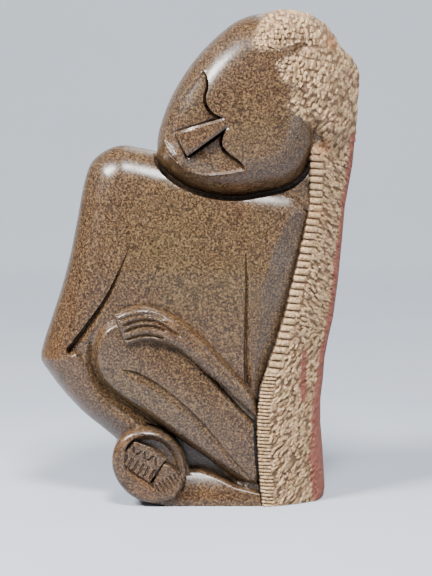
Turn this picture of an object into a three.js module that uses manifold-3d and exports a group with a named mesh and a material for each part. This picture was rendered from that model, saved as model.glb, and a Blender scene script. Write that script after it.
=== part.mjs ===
// A carved stone figure of a seated woman, cut from one slab. Her long head lies on her shoulder, one hand
// rests on the raised knee, the other arm reaches down to a round bowl that holds a small plaque of keys,
// and a mane of rough hair runs from the crown to the base beside the stone's natural red crust.
// Millimetres, +Z up. The face looks along -Y, and the underside lies on z = 0.
import * as THREE from 'three';
import { TessellateModifier } from 'three/addons/modifiers/TessellateModifier.js';
import { mergeVertices } from 'three/addons/utils/BufferGeometryUtils.js';
import Module from 'manifold-3d';

const wasm = await Module();
wasm.setup();

// Places where the surfaces of the slab lie, measured along Y from its middle plane.
const HEAD_FRONT = -46;
const HEAD_MIDDLE = -6;
const HEAD_BACK = 34;
const TORSO_FRONT = -35;
const SLAB_MIDDLE = 2;
const SLAB_BACK = 42;
const LEG_FRONT = -44;
const HAND_FRONT = -49;
const BOWL_FRONT = -48;
const BASE_FRONT = -43;
const OUTSIDE = -70;

// Roundings and cuts.
const HEAD_EDGE = 24;
const SLAB_EDGE = 21;
const LEG_EDGE = 9;
const HEAD_GAP = 3.2;
const HEAD_GAP_FLOOR = -16;
const SOCKET_DEPTH = 7.5;
const RIM_DEPTH = 0.8;
const DISH_WIDTH = 18;

// Outlines seen from the front, as [x, z].
const SLAB = [
  [-79, 285], [-65, 290], [-49, 288], [-30, 284], [0, 276], [35, 267], [65, 263], [86, 256], [96, 240],
  [98, 190], [94, 140], [88, 90], [84, 40], [76, -18], [20, -22], [-30, -20], [-46, 4], [-58, 28], [-69, 46],
  [-80, 56], [-96, 69], [-113, 87], [-125, 103], [-132, 115], [-130, 127], [-123, 148], [-114, 175],
  [-107, 201], [-100, 235], [-95, 260], [-89, 276],
];
const HEAD = [
  [-35, 287], [-34, 299], [-30, 313], [-23, 330], [-13, 347], [-1, 363], [14, 378], [30, 390], [50, 396],
  [70, 393], [88, 377], [97, 350], [99, 320], [94, 292], [86, 271], [78, 262], [67, 256], [50, 252],
  [28, 249], [8, 251], [-10, 257], [-24, 266], [-33, 276],
];
const CROWN_HAIR = [
  [50, 396], [68, 400], [82, 399], [97, 392], [109, 380], [115, 370], [123, 363], [129, 351], [130, 341],
  [129, 323], [128, 305], [125, 284], [118, 268], [106, 268], [97, 282], [89, 300], [82, 309], [75, 315],
  [69, 323],
  [68, 335], [61, 349], [52, 360], [41, 367], [43, 383],
];
const LEG = [
  [-88, 126], [-86, 138], [-80, 148], [-69, 155], [-55, 159], [-40, 157], [-20, 144], [0, 124], [20, 100],
  [36, 82], [50, 66], [54, 40], [50, 13], [40, 13], [29, 18], [16, 27], [0, 38], [-16, 49], [-32, 61],
  [-48, 73], [-64, 84], [-75, 93], [-82, 101], [-87, 113],
];
const FOREARM_TOP = [
  [-69, 156], [-59, 161], [-47, 163], [-33, 160], [-16, 152], [0, 139], [16, 122], [32, 105], [44, 90],
];
const FOREARM_UNDER = [
  [48, 68], [40, 76], [28, 87], [16, 99], [4, 109], [-8, 120], [-20, 129], [-32, 133], [-42, 134],
  [-52, 132], [-60, 129],
];

// The eye sockets: one sunken field between the cheek's rim and the brows, left standing where the nose is.
const CHEEK_RIM = [
  [3, 350], [-12, 332], [-23, 314], [-28, 299], [-27, 290], [-16, 275], [-8, 270], [4, 267], [20, 268],
  [37, 271],
];
const LOWER_BROW = [[37, 271], [32, 278], [24, 284], [18, 291], [19, 299], [22, 305]];
const NOSE_TIP = [[-10, 282], [-20, 301]];
const UPPER_BROW = [[18, 312], [9, 318], [5, 326], [7, 337], [6, 344], [3, 350]];

// Carved lines, each as [x, z] points.
const LEFT_ARM_LINE = [[-57, 208], [-63, 193], [-74, 169], [-89, 146], [-104, 125]];
const RIGHT_ARM_LINE = [[37, 203], [38, 183], [38, 151], [38, 119], [39, 96]];
const LEG_LINE = [[-64, 112], [-44, 103], [-20, 86], [2, 65], [21, 42], [39, 22], [47, 14]];
const FINGER_LINES = [
  [[-66, 152], [-53, 156], [-41, 157], [-27, 153]],
  [[-64, 147], [-47, 152], [-35, 151], [-23, 144], [-14, 138]],
  [[-62, 142], [-49, 147], [-36, 147], [-25, 143]],
  [[-61, 136], [-47, 140], [-37, 140], [-27, 137]],
];
const HAIR_VALLEYS = [
  [[36, 360], [54, 364], [67, 367], [83, 371], [98, 370]],
  [[60, 342], [79, 338], [93, 332], [107, 329], [122, 328]],
  [[66, 330], [83, 326], [99, 319], [112, 314], [126, 312]],
];

// The mane below the head, in level sections: height, the edge beside the arm as x and y, the line where
// the rough hair meets the red crust as x and y, and the outermost x of the crust.
const MANE = [
  [-18, 54, -44, 92, -27, 97],
  [5, 50, -44, 91, -26, 104],
  [38, 47, -43, 89, -24, 102],
  [60, 46, -42, 90, -22, 100],
  [80, 47, -41, 92, -19, 100],
  [97, 49, -39, 94, -17, 102],
  [113, 55, -37, 96, -15, 103],
  [130, 61, -34, 99, -13, 106],
  [148, 67, -31, 103, -11, 110],
  [180, 75, -27, 108, -8, 114],
  [214, 83, -25, 111, -6, 117],
  [240, 88, -25, 114, -4, 119],
  [275, 89, -25, 120, -3, 125],
  [300, 89, -24, 121, -2, 127],
  [335, 92, -20, 112, -4, 117],
];
const MANE_BULGE = 4.5;
const MANE_BACK = 45;
const MANE_WIDTH_BEHIND = 62;

// The ridge where the right arm's side turns back to the hair, as [x, z], and how steeply it turns.
const ARM_RIDGE = [
  [46.5, 82], [43.5, 94], [44.2, 110], [45.8, 130], [48.1, 151], [50.5, 167], [53.7, 183], [57.6, 201],
  [62.4, 214], [67.1, 225], [71.9, 234], [77.4, 242], [86, 252], [94, 262],
];
const ARM_SLOPE = 0.55;

// The bowl, an oval with its long axis turned down to the right.
const BOWL = { x: -41, z: 33, long: 32.5, short: 28, turn: THREE.MathUtils.degToRad(-47) };
const BOWL_BACK = 24;
const BOWL_ROUNDING = 6;
const WELL = { x: -38, z: 36, long: 25.5, short: 21.5, turn: BOWL.turn };
const WELL_DEPTH = 9;
const PLAQUE = [[-67, 38], [-53, 54], [-40, 49], [-27, 40], [-41, 20]];
const PLAQUE_AXIS = { x: -47, z: 37.5, turn: THREE.MathUtils.degToRad(-28) };
const KEYS = 6;
const KEY_PITCH = 5;
const GRIP = [[-29, 36], [-24, 34], [-12, 23], [-22, 7], [-35, 12], [-38, 20]];
const BASE_TOP = [
  [-51, 12], [-44, 22], [-14, 27], [0, 27], [12, 23], [29, 15], [58, 8], [62, -18], [-22, -18], [-30, 0],
  [-43, 3],
];
const CALF_GAP = [
  [-89, 112], [-86, 104], [-81, 96], [-70, 85], [-51, 71], [-28, 57], [-8, 43], [10, 31], [30, 15],
];
const CALF_HOLLOW = [[-45, 66], [-20, 58], [0, 42], [30, 14], [4, 20], [-8, 25], [-12, 36], [-22, 50]];
const ELBOW_FACET = [[-103, 126], [-97, 131], [-89, 135], [-86, 122], [-90, 108]];
const NECK = [[66, 250], [97, 232], [98, 296], [70, 290]];
const NECK_FRONT = -17;
const LIPS = [[-32, 297], [-30, 288], [-24, 279], [-13, 272], [-16, 280], [-21, 287], [-27, 293]];
const LIP_LINE = [[-28, 290], [-24, 284], [-18, 278]];

const vector = ([x, z]) => new THREE.Vector3(x, 0, z);
const ramp = (value, from, to) => THREE.MathUtils.clamp((value - from) / (to - from), 0, 1);

// The front of each mass, as a depth that depends on where the point lies.
const torsoFront = (x, z) => TORSO_FRONT + 7 * ramp(z, 190, 290) + 4 * ((x + 10) / 110) ** 2;
const slabBack = (x, z) => SLAB_BACK - 8 * ramp(z, 150, 290) - 5 * ((x - 20) / 120) ** 2;
const headFront = (x, z) => HEAD_FRONT + 4 * (((x - 30) / 70) ** 2 + ((z - 320) / 75) ** 2);
const headBack = (x, z) => HEAD_BACK - 5 * (((x - 30) / 70) ** 2 + ((z - 320) / 75) ** 2);
const crownFront = (x, z) => (
  headFront(x, z) - 1.5 + 0.012 * Math.max(0, x - 84) ** 2 + 0.75 * Math.max(0, 303 - z)
);
const crownBack = (x, z) => MANE_BACK - 3 - 5 * ramp(z, 320, 395);
const legFront = (x, z) => LEG_FRONT + 3 * ramp(x, -40, 46) + 0.0009 * (x + z - 66) ** 2;

// Points along a smooth line through the given ones.
function smooth(points, count, closed = false) {
  const curve = new THREE.CatmullRomCurve3(points.map(vector), closed, 'centripetal');
  const found = curve.getSpacedPoints(count);
  return closed ? found.slice(0, -1) : found;
}

// One outline from several smooth strands that meet at corners.
function strands(...parts) {
  return parts.flatMap(([points, count]) => smooth(points, count).slice(0, -1));
}

function oval({ x, z, long, short, turn }, count) {
  const curve = new THREE.EllipseCurve(x, z, long, short, 0, 2 * Math.PI, false, turn);
  return curve.getPoints(count).slice(0, -1).map((p) => new THREE.Vector3(p.x, 0, p.y));
}

// A closed skin over a row of rings with equally many points, with a fan at each end.
function skin(rings) {
  const count = rings[0].length;
  const points = rings.flat();
  const index = [];
  for (let r = 0; r + 1 < rings.length; r++) {
    for (let i = 0; i < count; i++) {
      const a = r * count + i;
      const b = r * count + ((i + 1) % count);
      index.push(a, b, a + count, b, b + count, a + count);
    }
  }
  for (const last of [false, true]) {
    const ring = last ? rings.at(-1) : rings[0];
    const start = last ? (rings.length - 1) * count : 0;
    const hub = points.length;
    points.push(ring.reduce((sum, p) => sum.add(p), new THREE.Vector3()).divideScalar(count));
    for (let i = 0; i < count; i++) {
      const pair = [start + i, start + ((i + 1) % count)];
      index.push(hub, ...(last ? pair : pair.reverse()));
    }
  }
  return new THREE.BufferGeometry().setFromPoints(points).setIndex(index);
}

// A rounded mass: the outline is drawn in towards a spine while its faces swell to front() and back().
function mass(outline, { spine, middle, edge, front, back, steps = 4, grow = 0 }) {
  const line = new THREE.Line3(vector(spine[0]), vector(spine[1]));
  const width = typeof edge === 'function' ? edge : () => edge;
  const ring = (inset, share, rise, face) => outline.map((p) => {
    const core = line.closestPointToPoint(p, true, new THREE.Vector3());
    const way = core.clone().sub(p);
    const reach = Math.min(inset * width(p), 0.8 * way.length()) - grow;
    const q = p.clone().addScaledVector(way.clone().normalize(), reach).lerp(core, share);
    q.y = middle + (face(q.x, q.z) - middle) * rise;
    return q;
  });
  const side = (face, count) => {
    const rings = [];
    for (let i = 1; i <= count; i++) {
      const angle = (i / count) * Math.PI / 2;
      rings.push(ring(1 - Math.cos(angle), 0, Math.sin(angle), face));
    }
    rings.push(ring(1, 0.5, 1, face));
    return rings;
  };
  return skin([...side(back, steps - 1).reverse(), ring(0, 0, 0, front), ...side(front, steps)]);
}

// A piece with upright sides and a bevelled front that follows front().
function plate(outline, { front, back, bevel = 0, bevelSteps = 2 }) {
  const shape = new THREE.Shape(outline.map((p) => new THREE.Vector2(p.x, p.z)));
  const made = new THREE.ExtrudeGeometry(shape, {
    depth: 1, bevelEnabled: bevel > 0, bevelThickness: bevel, bevelSize: bevel, bevelOffset: -bevel,
    bevelSegments: bevelSteps,
  });
  const at = made.getAttribute('position');
  for (let i = 0; i < at.count; i++) {
    const [x, z, out] = [at.getX(i), at.getY(i), at.getZ(i)];
    at.setXYZ(i, x, out > 0.5 ? front(x, z) - (out - 1 - bevel) : back, z);
  }
  return made;
}

// A hollow cut in from the front down to floor(), with upright walls and no triangle side over `fine`.
function pocket(outline, floor, fine = 200) {
  const shape = new THREE.Shape(outline.map((p) => new THREE.Vector2(p.x, p.z)));
  const plain = new THREE.ExtrudeGeometry(shape, { depth: 1, bevelEnabled: false });
  const made = new TessellateModifier(fine, 12).modify(plain);
  const at = made.getAttribute('position');
  for (let i = 0; i < at.count; i++) {
    const [x, z, out] = [at.getX(i), at.getY(i), at.getZ(i)];
    at.setXYZ(i, x, out > 0.5 ? OUTSIDE : floor(x, z), z);
  }
  return made;
}

// A three-sided chisel cut along a line, shallow at its start; lean moves its bed towards one side.
function groove(points, { width, depth, front, steps = 8, start = 0.3, lean = 0 }) {
  const line = smooth(points, steps);
  const rings = line.map((p, i) => {
    const before = line[Math.max(i - 1, 0)];
    const after = line[Math.min(i + 1, line.length - 1)];
    const along = after.clone().sub(before).normalize();
    const share = THREE.MathUtils.lerp(start, 1, i / steps);
    const above = 3;
    const half = (width / 2) * share;
    const flare = above / (depth * share);
    const across = new THREE.Vector3(-along.z, 0, along.x).multiplyScalar(half);
    const surface = front(p.x, p.z);
    const bed = p.clone().addScaledVector(across, lean).setY(surface + depth * share);
    const lip = (side) => p.clone().addScaledVector(across, side + (side - lean) * flare)
      .setY(surface - above);
    return [lip(1), lip(-1), bed];
  });
  return skin(rings);
}

function solid(geometry) {
  const plain = geometry.clone();
  plain.deleteAttribute('normal');
  plain.deleteAttribute('uv');
  const merged = mergeVertices(plain, 1e-4);
  const triVerts = new Uint32Array(merged.index.array);
  const vertProperties = merged.getAttribute('position').array;
  const build = () => new wasm.Manifold(new wasm.Mesh({ numProp: 3, vertProperties, triVerts }));
  const made = build();
  if (made.volume() > 0) return made;
  for (let i = 0; i < triVerts.length; i += 3) {
    [triVerts[i + 1], triVerts[i + 2]] = [triVerts[i + 2], triVerts[i + 1]];
  }
  return build();
}

// A block wider and taller than the figure, between two depths.
function slabBox(near, far) {
  const reach = 1000;
  return solid(new THREE.BoxGeometry(reach, far - near, reach).translate(0, (near + far) / 2, 0));
}

const joined = (pieces) => pieces.reduce((sum, piece) => sum.add(piece));
const cutBy = (body, cutters) => cutters.reduce((left, cutter) => left.subtract(cutter), body);

// Head: a long oval with its front dished into two sockets that leave the nose standing, and the lips.
// The room around the head is cut from the torso so that a dark gap runs under the cheek.
function makeHead() {
  const outline = smooth(HEAD, 56, true);
  const shape = {
    spine: [[5, 300], [62, 330]], middle: HEAD_MIDDLE, edge: HEAD_EDGE, front: headFront, back: headBack,
    steps: 6,
  };
  const distance = (line, x, z) => Math.min(...line.map((p) => Math.hypot(p.x - x, p.z - z)));
  const surface = (x, z) => {
    const rise = Math.sqrt(1 - (1 - ramp(distance(outline, x, z), 0, HEAD_EDGE)) ** 2);
    return HEAD_MIDDLE + (headFront(x, z) - HEAD_MIDDLE) * rise;
  };
  const sockets = strands(
    [CHEEK_RIM, 16], [LOWER_BROW, 6], [[LOWER_BROW.at(-1), NOSE_TIP[0]], 1], [NOSE_TIP, 1],
    [[NOSE_TIP[1], UPPER_BROW[0]], 1], [UPPER_BROW, 7],
  );
  const rim = smooth(CHEEK_RIM, 24);
  const floor = (x, z) => {
    const fall = ramp(distance(rim, x, z), 0, DISH_WIDTH) ** 0.7;
    return surface(x, z) + THREE.MathUtils.lerp(RIM_DEPTH, SOCKET_DEPTH, fall);
  };
  const lips = solid(mass(smooth(LIPS, 18, true), {
    spine: [[-28, 289], [-20, 279]], middle: -20, edge: 2.5, front: (x, z) => surface(x, z) - 1.2,
    back: () => -10, steps: 2,
  }));
  const mouth = solid(groove(LIP_LINE, { width: 2, depth: 1.8, front: surface, steps: 5, start: 0.6 }));
  const behind = slabBox(HEAD_GAP_FLOOR, 2 * -OUTSIDE);
  const room = solid(mass(outline, { ...shape, grow: HEAD_GAP })).subtract(behind);
  const dished = solid(mass(outline, shape)).subtract(solid(pocket(sockets, floor, 11)));
  return { head: dished.add(lips).subtract(mouth), room };
}

// Hair over the crown, parted into locks, and the mane below it.
function makeHair() {
  const crown = solid(mass(smooth(CROWN_HAIR, 48, true), {
    spine: [[84, 372], [100, 316]], middle: 0, edge: (p) => THREE.MathUtils.lerp(3, 20, ramp(p.x, 76, 112)),
    front: crownFront, back: crownBack,
  }));
  const valleys = HAIR_VALLEYS.map((line) => solid(groove(line, {
    width: 8, depth: 3.5, front: crownFront, steps: 6, start: 0.8,
  })));
  const sections = MANE.map(([z, edgeX, edgeY, lineX, lineY, outX]) => {
    const point = (x, y) => new THREE.Vector3(x, y, z);
    const face = [0, 0.2, 0.45, 0.72, 1].map((u) => point(
      THREE.MathUtils.lerp(edgeX, lineX, u),
      THREE.MathUtils.lerp(edgeY, lineY, u) - MANE_BULGE * 4 * u * (1 - u),
    ));
    const back = MANE_BACK - 12 * ramp(z, 290, 335);
    const behind = outX - MANE_WIDTH_BEHIND - 5 * Math.sin(z / 31);
    return [
      point(edgeX + 1, edgeY + 14), ...face, point(outX, 12), point(outX - 3, back - 10),
      point(outX - 14, back), point(behind + 9, back), point(behind, back - 9), point(edgeX - 6, 10),
    ];
  });
  return cutBy(crown, valleys).add(solid(skin(sections)));
}

// Bowl with its sunken well, the plaque of keys in it and the fingers that grip its edge.
function makeBowl() {
  const flat = (depth) => () => depth;
  const bowl = solid(plate(oval(BOWL, 32), {
    front: flat(BOWL_FRONT), back: BOWL_BACK, bevel: BOWL_ROUNDING,
  }));
  const well = solid(pocket(oval(WELL, 24), flat(BOWL_FRONT + WELL_DEPTH)));
  const plaque = solid(plate(PLAQUE.map(vector), {
    front: flat(BOWL_FRONT + 1.5), back: BOWL_FRONT + WELL_DEPTH + 2, bevel: 0.8, bevelSteps: 1,
  }));
  const grip = solid(plate(GRIP.map(vector), {
    front: flat(BOWL_FRONT - 0.5), back: BOWL_FRONT + WELL_DEPTH + 2, bevel: 1.2, bevelSteps: 1,
  }));
  const along = new THREE.Vector2(Math.cos(PLAQUE_AXIS.turn), Math.sin(PLAQUE_AXIS.turn));
  const stroke = (x, z, turn, length) => {
    const box = new THREE.BoxGeometry(1.6, 4, length);
    return solid(box.rotateY(-turn).translate(x, BOWL_FRONT + 0.5, z));
  };
  const strokes = [];
  for (let i = 0; i < KEYS; i++) {
    const step = (i - (KEYS - 1) / 2) * KEY_PITCH;
    const [x, z] = [PLAQUE_AXIS.x + step * along.x, PLAQUE_AXIS.z + step * along.y];
    strokes.push(stroke(x - 2.4, z - 4.6, PLAQUE_AXIS.turn, 9));
    const lean = i % 2 ? 0.5 : -0.5;
    if (i > 0) strokes.push(stroke(x + 2.4, z + 4.8, PLAQUE_AXIS.turn + lean, 6));
  }
  const nails = [0, 1, 2, 3].map((i) => stroke(-19 - 3.4 * i, 26 - 4.4 * i, -0.85, 12));
  return cutBy(joined([bowl.subtract(well), plaque, grip]), [...strokes, ...nails]);
}

// Raised leg, and the forearm and hand that lie along it.
function makeLap() {
  const leg = solid(mass(smooth(LEG, 44, true), {
    spine: [[-58, 126], [34, 46]], middle: -10, edge: LEG_EDGE, front: legFront, back: () => 0, steps: 3,
  }));
  const handFront = (x, z) => (
    HAND_FRONT + 6 * ramp(x, -20, 50) + 0.5 * ((z - 146) / 12) ** 2 * ramp(-x, 20, 40)
  );
  const forearm = solid(plate(strands([FOREARM_TOP, 14], [[FOREARM_TOP.at(-1), FOREARM_UNDER[0]], 1],
    [FOREARM_UNDER, 14], [[FOREARM_UNDER.at(-1), FOREARM_TOP[0]], 1]), {
    front: handFront, back: -14, bevel: 2.4,
  }));
  const fingers = FINGER_LINES.map((line) => solid(groove(line, {
    width: 2.4, depth: 2.2, front: handFront, steps: 6, start: 1,
  })));
  const shin = solid(groove(LEG_LINE, { width: 4, depth: 3, front: legFront, steps: 10, start: 0.7 }));
  return leg.subtract(shin).add(cutBy(forearm, fingers));
}

// Slab of the torso and both arms, with the cuts that part the arms, the knee and the calf from it.
function makeTorso(room) {
  const slab = solid(mass(smooth(SLAB, 84, true), {
    spine: [[-20, 100], [-8, 232]], middle: SLAB_MIDDLE, edge: SLAB_EDGE, front: torsoFront, back: slabBack,
  }));
  const armSide = ARM_RIDGE.map(([x, z]) => {
    const ridge = torsoFront(x, z);
    const reach = 45;
    const point = (px, y) => new THREE.Vector3(px, y, z);
    return [
      point(x, ridge), point(x + reach, ridge + ARM_SLOPE * reach), point(x + reach, OUTSIDE),
      point(x - 5, OUTSIDE), point(x - 5, ridge - 2),
    ];
  });
  const cutters = [
    skin(armSide),
    groove(LEFT_ARM_LINE, { width: 9, depth: 8, front: torsoFront, start: 0.12, lean: -0.5 }),
    groove(RIGHT_ARM_LINE, { width: 7, depth: 4, front: torsoFront, start: 0.4, lean: -0.5 }),
    groove(CALF_GAP, { width: 18, depth: 15, front: torsoFront, start: 0.4, lean: -0.2 }),
    pocket(CALF_HOLLOW.map(vector), () => -18),
    pocket(ELBOW_FACET.map(vector), (x) => TORSO_FRONT + 9 - 0.65 * (x + 103)),
  ];
  const neck = solid(plate(NECK.map(vector), { front: () => NECK_FRONT, back: 20 }));
  return cutBy(slab, [room, ...cutters.map(solid)]).add(neck);
}

function makeBase() {
  return solid(plate(BASE_TOP.map(vector), {
    front: (x, z) => BASE_FRONT + 0.014 * Math.max(0, z) ** 2, back: 30, bevel: 1.5, bevelSteps: 1,
  }));
}

const { head, room } = makeHead();
const below = solid(new THREE.BoxGeometry(1000, 1000, 1000).translate(0, 0, -500));
const pieces = [makeTorso(room), head, makeHair(), makeLap(), makeBowl(), makeBase()];
const mesh = joined(pieces).subtract(below).getMesh();
const geometry = new THREE.BufferGeometry();
geometry.setAttribute('position', new THREE.BufferAttribute(mesh.vertProperties, 3));
geometry.setIndex(new THREE.BufferAttribute(mesh.triVerts, 1));

// The origin is moved under the middle of the figure's box.
geometry.computeBoundingBox();
const middle = geometry.boundingBox.getCenter(new THREE.Vector3());
geometry.translate(-middle.x, -middle.y, 0);
geometry.computeVertexNormals();

const stone = new THREE.MeshStandardMaterial({ color: 0x6b574a, roughness: 0.35, metalness: 0 });
const figure = new THREE.Mesh(geometry, stone);
figure.name = 'female_figure';

const model = new THREE.Group();
model.add(figure);

export default model;
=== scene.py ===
"""Stone figure carving: the polished and pecked surface of the block, its stone, the floor and the light.

The block is described by two maps over the front view, in millimetres: where its front surface lies and
where its back surface lies. The skin between them is found on a fine grid, then made of stone.
"""
import math

import bmesh
import bpy
import numpy as np
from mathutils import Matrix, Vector


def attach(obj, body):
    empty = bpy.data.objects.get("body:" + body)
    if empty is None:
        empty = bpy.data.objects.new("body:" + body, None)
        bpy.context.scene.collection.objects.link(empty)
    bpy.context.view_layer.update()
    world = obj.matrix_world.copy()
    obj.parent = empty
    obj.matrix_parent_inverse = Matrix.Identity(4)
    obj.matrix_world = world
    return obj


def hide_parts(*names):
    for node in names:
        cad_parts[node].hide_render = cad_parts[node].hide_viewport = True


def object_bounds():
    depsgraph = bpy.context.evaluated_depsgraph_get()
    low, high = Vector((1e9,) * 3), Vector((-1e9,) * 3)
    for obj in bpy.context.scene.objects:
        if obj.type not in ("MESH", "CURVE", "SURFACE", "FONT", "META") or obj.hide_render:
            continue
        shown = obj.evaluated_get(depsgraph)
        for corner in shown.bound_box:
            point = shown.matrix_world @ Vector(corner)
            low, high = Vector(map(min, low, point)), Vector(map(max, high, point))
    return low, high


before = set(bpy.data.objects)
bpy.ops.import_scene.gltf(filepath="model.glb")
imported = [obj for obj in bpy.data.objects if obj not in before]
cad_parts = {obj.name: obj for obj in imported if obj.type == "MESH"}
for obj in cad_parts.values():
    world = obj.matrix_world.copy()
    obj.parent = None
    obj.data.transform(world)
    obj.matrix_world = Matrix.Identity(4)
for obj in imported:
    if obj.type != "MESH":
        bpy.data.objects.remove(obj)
CAD_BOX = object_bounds()
NODE = "female_figure"
MM = 0.001

# Surfaces of the block along Y, the same as the solid's.
HEAD_FRONT = -46
HEAD_MIDDLE = -6
HEAD_BACK = 34
TORSO_FRONT = -35
SLAB_MIDDLE = 2
SLAB_BACK = 42
LEG_FRONT = -44
LEG_MIDDLE = -10
HAND_FRONT = -49
BOWL_FRONT = -48
BASE_FRONT = -43
MANE_BACK = 45
NECK_FRONT = -17

# Roundings and cuts.
HEAD_EDGE = 31
CROWN_EDGE = 20
SLAB_EDGE = 28
LEG_EDGE = 10
FOREARM_EDGE = 8
HEAD_GAP = 3.2
HEAD_GAP_FLOOR = -9
SOCKET_DEPTH = 7.5
BROW_CUT = 4
RIM_RAISE = 0.9
DISH_WIDTH = 18
ARM_SLOPE = 0.55
BOWL_BACK = 24
BOWL_ROUNDING = 6
WELL_DEPTH = 9
MANE_BULGE = 4.5
SEAM_FLOOR = -26
MANE_WIDTH_BEHIND = 62

# Outlines seen from the front, as (x, z).
SLAB = [
    (-79, 285), (-65, 290), (-49, 288), (-30, 284), (0, 276), (35, 267), (65, 263), (86, 256), (96, 240),
    (98, 190), (94, 140), (88, 90), (84, 40), (76, -18), (20, -22), (-30, -20), (-46, 4), (-58, 28),
    (-69, 46), (-80, 56), (-96, 69), (-113, 87), (-125, 103), (-132, 115), (-130, 127), (-123, 148),
    (-114, 175), (-107, 201), (-100, 235), (-95, 260), (-89, 276),
]
HEAD = [
    (-35, 287), (-34, 299), (-30, 313), (-23, 330), (-13, 347), (-1, 363), (14, 378), (30, 390), (50, 396),
    (70, 393), (88, 377), (97, 350), (99, 320), (94, 292), (86, 271), (78, 262), (67, 256), (50, 252),
    (28, 249), (8, 251), (-10, 257), (-24, 266), (-33, 276),
]
CROWN_HAIR = [
    (50, 396), (68, 400), (82, 399), (97, 392), (109, 380), (115, 370), (123, 363), (129, 351), (130, 341),
    (129, 323), (128, 305), (125, 284), (118, 268), (106, 268), (97, 282), (89, 300), (82, 309), (75, 315),
    (69, 323), (68, 335), (61, 349), (52, 360), (41, 367), (43, 383),
]
LEG = [
    (-88, 126), (-86, 138), (-80, 148), (-69, 155), (-55, 159), (-40, 157), (-20, 144), (0, 124), (20, 100),
    (36, 82), (50, 66), (54, 40), (50, 13), (40, 13), (29, 18), (16, 27), (0, 38), (-16, 49), (-32, 61),
    (-48, 73), (-64, 84), (-75, 93), (-82, 101), (-87, 113),
]
FOREARM_TOP = [
    (-69, 156), (-59, 161), (-47, 163), (-33, 160), (-16, 152), (0, 139), (16, 122), (32, 105), (44, 90),
]
FOREARM_UNDER = [
    (48, 68), (40, 76), (28, 87), (16, 99), (4, 109), (-8, 120), (-20, 129), (-32, 133), (-42, 134),
    (-52, 132), (-60, 129),
]
CHEEK_RIM = [
    (3, 350), (-12, 332), (-23, 314), (-28, 299), (-27, 290), (-16, 275), (-8, 270), (4, 267), (20, 268),
    (37, 271),
]
LOWER_BROW = [(37, 271), (32, 278), (24, 284), (18, 291), (19, 299), (22, 305)]
NOSE_TIP = [(-10, 282), (-20, 301)]
UPPER_BROW = [(18, 312), (9, 318), (5, 326), (7, 337), (6, 344), (3, 350)]
LIPS = [(-32, 297), (-30, 288), (-24, 279), (-13, 272), (-16, 280), (-21, 287), (-27, 293)]
LIP_LINE = [(-29, 293), (-27, 289), (-24, 284), (-18, 278)]

# Carved lines, as (x, z).
LEFT_ARM_LINE = [(-57, 208), (-63, 193), (-74, 169), (-89, 146), (-104, 125)]
RIGHT_ARM_LINE = [(37, 203), (38, 183), (38, 151), (38, 119), (39, 96)]
LEG_LINE = [(-64, 112), (-44, 103), (-20, 86), (2, 65), (21, 42), (39, 22), (47, 14)]
FINGER_LINES = [
    [(-66, 152), (-53, 156), (-41, 157), (-27, 153)],
    [(-64, 147), (-47, 152), (-35, 151), (-23, 144), (-14, 138)],
    [(-62, 142), (-49, 147), (-36, 147), (-25, 143)],
    [(-61, 136), (-47, 140), (-37, 140), (-27, 137)],
]
CALF_EDGE = [
    (-86, 140), (-88, 126), (-87, 113), (-82, 101), (-75, 93), (-64, 84), (-48, 73), (-32, 61), (-16, 49),
    (0, 38), (16, 27), (30, 17),
]
CALF_TRENCH = 12
CALF_HOLLOW = [(-45, 66), (-20, 58), (0, 42), (30, 14), (4, 20), (-8, 25), (-12, 36), (-22, 50)]
ELBOW_FACET = [(-103, 126), (-97, 131), (-89, 135), (-86, 122), (-90, 108)]
NECK = [(66, 250), (97, 232), (98, 296), (70, 290)]
BASE_TOP = [
    (-51, 12), (-44, 22), (-14, 27), (0, 27), (12, 23), (29, 15), (58, 8), (62, -18), (-22, -18), (-30, 0),
    (-43, 3),
]
BOWL = {"x": -41, "z": 33, "long": 32.5, "short": 28, "turn": math.radians(-47)}
WELL = {"x": -38, "z": 36, "long": 25.5, "short": 21.5, "turn": math.radians(-47)}
PLAQUE = [(-67, 38), (-53, 54), (-40, 49), (-27, 40), (-41, 20)]
PLAQUE_AXIS = {"x": -47, "z": 37.5, "turn": math.radians(-28)}
GRIP = [(-29, 36), (-24, 34), (-12, 23), (-22, 7), (-35, 12), (-38, 20)]
KEYS = 6
KEY_PITCH = 5

# The mane below the head: height, the edge beside the arm as x and y, the line where the rough hair meets
# the red crust as x and y, and the outermost x of the crust.
MANE = np.array([
    (-18, 54, -44, 92, -27, 97),
    (5, 50, -44, 91, -26, 104),
    (38, 47, -43, 89, -24, 102),
    (60, 46, -42, 90, -22, 100),
    (80, 47, -41, 92, -19, 100),
    (97, 49, -39, 94, -17, 102),
    (113, 55, -37, 96, -15, 103),
    (130, 61, -34, 99, -13, 106),
    (148, 67, -31, 103, -11, 110),
    (180, 75, -27, 108, -8, 114),
    (214, 83, -25, 111, -6, 117),
    (240, 88, -25, 114, -4, 119),
    (275, 89, -25, 120, -3, 125),
    (300, 89, -24, 121, -2, 127),
    (335, 92, -20, 112, -4, 117),
], float)
ARM_RIDGE = np.array([
    (46.5, 82), (43.5, 94), (44.2, 110), (45.8, 130), (48.1, 151), (50.5, 167), (53.7, 183), (57.6, 201),
    (62.4, 214), (67.1, 225), (71.9, 234), (77.4, 242), (86, 252), (94, 262),
])

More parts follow.
